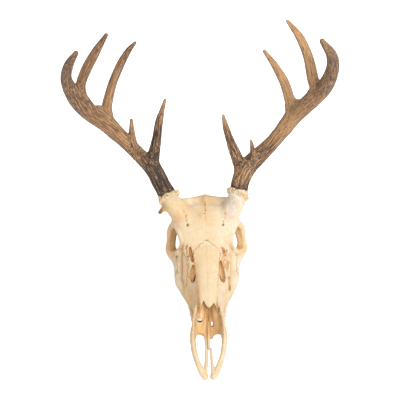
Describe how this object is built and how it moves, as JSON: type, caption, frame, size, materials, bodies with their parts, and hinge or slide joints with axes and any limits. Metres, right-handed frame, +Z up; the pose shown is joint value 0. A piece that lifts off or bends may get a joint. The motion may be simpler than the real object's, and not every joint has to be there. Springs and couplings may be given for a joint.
{
  "type": "antlered deer skull",
  "caption": "Deer skull with branched antlers, upper cheek teeth and separately modelled skull bones, resting on its teeth and hind processes.",
  "frame": {"origin": "middle of the bounding box in plan, on the level that the teeth and the hind processes rest on", "axes": "+Z up, -Y towards the tip of the nose, +X towards the animal's left"},
  "size_m": [0.3732, 0.4002, 0.4314],
  "materials": {
    "bone": "matte",
    "antler": "satin"
  },
  "bodies": {
    "root": {"antler_left_base": "antler", "antler_left_brow_tine": "antler", "antler_left_middle": "antler", "antler_left_second_tine": "antler", "antler_left_small_tine": "antler", "antler_left_third_tine": "antler", "antler_left_tip": "antler", "antler_right_base": "antler", "antler_right_brow_tine": "antler", "antler_right_middle": "antler", "antler_right_second_tine": "antler", "antler_right_small_tine": "antler", "antler_right_third_tine": "antler", "antler_right_tip": "antler", "braincase": "bone", "frontal_left": "bone", "frontal_right": "bone", "maxilla_left": "bone", "maxilla_right": "bone", "nasal_left": "bone", "nasal_right": "bone", "premaxilla_left": "bone", "premaxilla_right": "bone", "vomer": "bone", "zygomatic_left": "bone", "zygomatic_right": "bone"}
  },
  "joints": []
}
